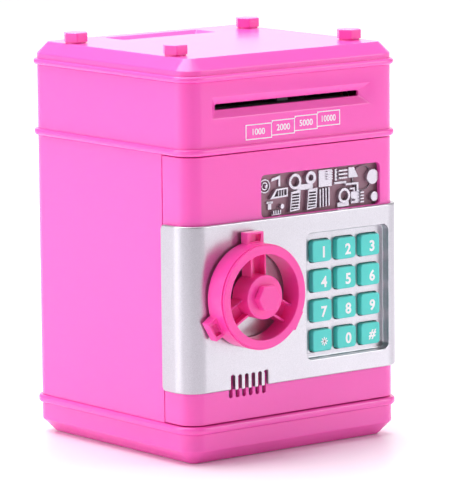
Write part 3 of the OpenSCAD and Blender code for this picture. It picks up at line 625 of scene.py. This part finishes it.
def buildRelief(p, forms):
    def at(points, aside=0.0):
        return [(p["left"] + aside + u, p["bottom"] + v) for u, v in points]

    ground = p["ground"]
    low = ground - p["high"] * p["lowShare"]
    high = ground - p["high"]
    backing = bmesh.new()
    prism(backing, at(rectangle(*p["backing"])), p["back"], ground)
    plate = finishShape(backing, "windowBacking", "door", "mauveBacking")
    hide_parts("window_relief")

    parts = bmesh.new()
    for rings, front in ((forms["tallRings"], high), (forms["lowRings"], low)):
        for u, v, outer, inner in rings:
            prism(parts, at(circle(u, v, outer)), ground, front, holes=[at(circle(u, v, inner))])
    for u, v, r in forms["discs"]:
        prism(parts, at(circle(u, v, r, 28)), ground, high)
    for plateShape in forms["lowPlates"]:
        prism(parts, at(rectangle(*plateShape)), ground, low)
    for points, front in ([(points, low) for points in forms["lowBrackets"]]
                          + [(points, high) for points in forms["tallPipes"]]):
        prism(parts, at(points), ground, front)
    frames = [(forms["cellFrame"], 0.0)]
    frames += [(forms["ventFrame"], left) for left in forms["ventLefts"]]
    for (rim, hole), aside in frames:
        prism(parts, at(rim, aside), ground, high, holes=[at(hole, aside)])
    finishShape(parts, "windowMachine", "door", "silverFoil", edge=0.22)

    depth = (p["high"] * mm, (ground - p["high"] / 2) * mm)
    for name, count, start, pitch, size in forms["rows"]:
        middle = ((p["left"] + start[0]) * mm, depth[1], (p["bottom"] + start[1]) * mm)
        finRow(name, count, middle, (pitch[0] * mm, 0, pitch[1] * mm),
               (size[0] * mm, depth[0], size[1] * mm), "door", "silverFoil")


buildRelief(reliefPlace, reliefShapes)
print("window relief built")


# floor, lights and camera

floorSheet = {"reach": 4.0, "top": -0.0002}


def buildFloor(p):
    shape = bmesh.new()
    reach = p["reach"]
    shape.faces.new([shape.verts.new((x, y, p["top"])) for x, y in
                     ((-reach, -reach), (reach, -reach), (reach, reach), (-reach, reach))])
    mesh = bpy.data.meshes.new("studioFloor")
    shape.to_mesh(mesh)
    shape.free()
    floor = bpy.data.objects.new("studioFloor", mesh)
    bpy.context.scene.collection.objects.link(floor)
    paper = bpy.data.materials.new("paleSweep")
    paper.use_nodes = True
    shader = paper.node_tree.nodes["Principled BSDF"]
    shader.inputs["Base Color"].default_value = (0.93, 0.90, 0.95, 1)
    shader.inputs["Roughness"].default_value = 0.35
    shader.inputs["Specular IOR Level"].default_value = 0.35
    mesh.materials.append(paper)


def addLamp(name, place, target, size, power):
    lamp = bpy.data.lights.new(name, "AREA")
    lamp.shape = "RECTANGLE"
    lamp.size, lamp.size_y = size
    lamp.energy = power
    holder = bpy.data.objects.new(name, lamp)
    holder.location = place
    holder.rotation_euler = (Vector(target) - Vector(place)).to_track_quat("-Z", "Y").to_euler()
    bpy.context.scene.collection.objects.link(holder)


# place, target, size and power
lamps = {
    "leftBox": ((-1.8, 0.7, 0.8), (0, 0, 0.1), (1.4, 1.5), 18),
    "frontBox": ((1.5, -1.6, 0.9), (0, 0, 0.1), (1.2, 1.4), 18),
    "topBox": ((0.0, 0.6, 2.4), (0, 0, 0.1), (2.6, 2.2), 90),
    "backBox": ((1.35, 1.72, 0.8), (0, 0, 0.15), (2.4, 1.2), 8),
}


def buildStudio():
    buildFloor(floorSheet)
    for name, (place, target, size, power) in lamps.items():
        addLamp(name, place, target, size, power)
    world = bpy.data.worlds.new("paleStudio")
    world.use_nodes = True
    tree = world.node_tree
    tree.nodes["Background"].inputs["Color"].default_value = (1, 0.98, 1, 1)
    # how squarely a ray looks at the unlit front of the room
    towards = tree.nodes.new("ShaderNodeVectorMath")
    towards.operation = "DOT_PRODUCT"
    towards.inputs[1].default_value = (-0.1, -1, 0)
    tree.links.new(tree.nodes.new("ShaderNodeTexCoord").outputs["Generated"], towards.inputs[0])
    dim = tree.nodes.new("ShaderNodeMapRange")
    dim.interpolation_type = "SMOOTHSTEP"
    for label, value in (("From Min", 0.5), ("From Max", 0.95), ("To Min", 0.45), ("To Max", 0.03)):
        dim.inputs[label].default_value = value
    tree.links.new(towards.outputs["Value"], dim.inputs["Value"])
    tree.links.new(dim.outputs["Result"], tree.nodes["Background"].inputs["Strength"])
    bpy.context.scene.world = world
    bpy.context.scene.view_settings.view_transform = "Standard"


cameraFit = {
    "place": (-1.2016, -1.5399, 0.3850), "lens": 303.3, "sensor": 36,
    "yaw": 0.66810, "down": 0.15165, "roll": -0.00959,  # radians
}


def placeCamera(c):
    lens = bpy.data.cameras.new("shopView")
    lens.lens = c["lens"]
    lens.sensor_width = c["sensor"]
    camera = bpy.data.objects.new("shopView", lens)
    flat = math.cos(c["down"])
    ahead = Vector((math.sin(c["yaw"]) * flat, math.cos(c["yaw"]) * flat, -math.sin(c["down"])))
    level = Vector((math.cos(c["yaw"]), -math.sin(c["yaw"]), 0))
    upward = level.cross(ahead)
    across = math.cos(c["roll"]) * level + math.sin(c["roll"]) * upward
    rise = -math.sin(c["roll"]) * level + math.cos(c["roll"]) * upward
    turn = Matrix((across, rise, -ahead)).transposed().to_4x4()
    camera.matrix_world = Matrix.Translation(c["place"]) @ turn
    bpy.context.scene.collection.objects.link(camera)
    bpy.context.scene.camera = camera


buildStudio()
placeCamera(cameraFit)
print("studio lit")
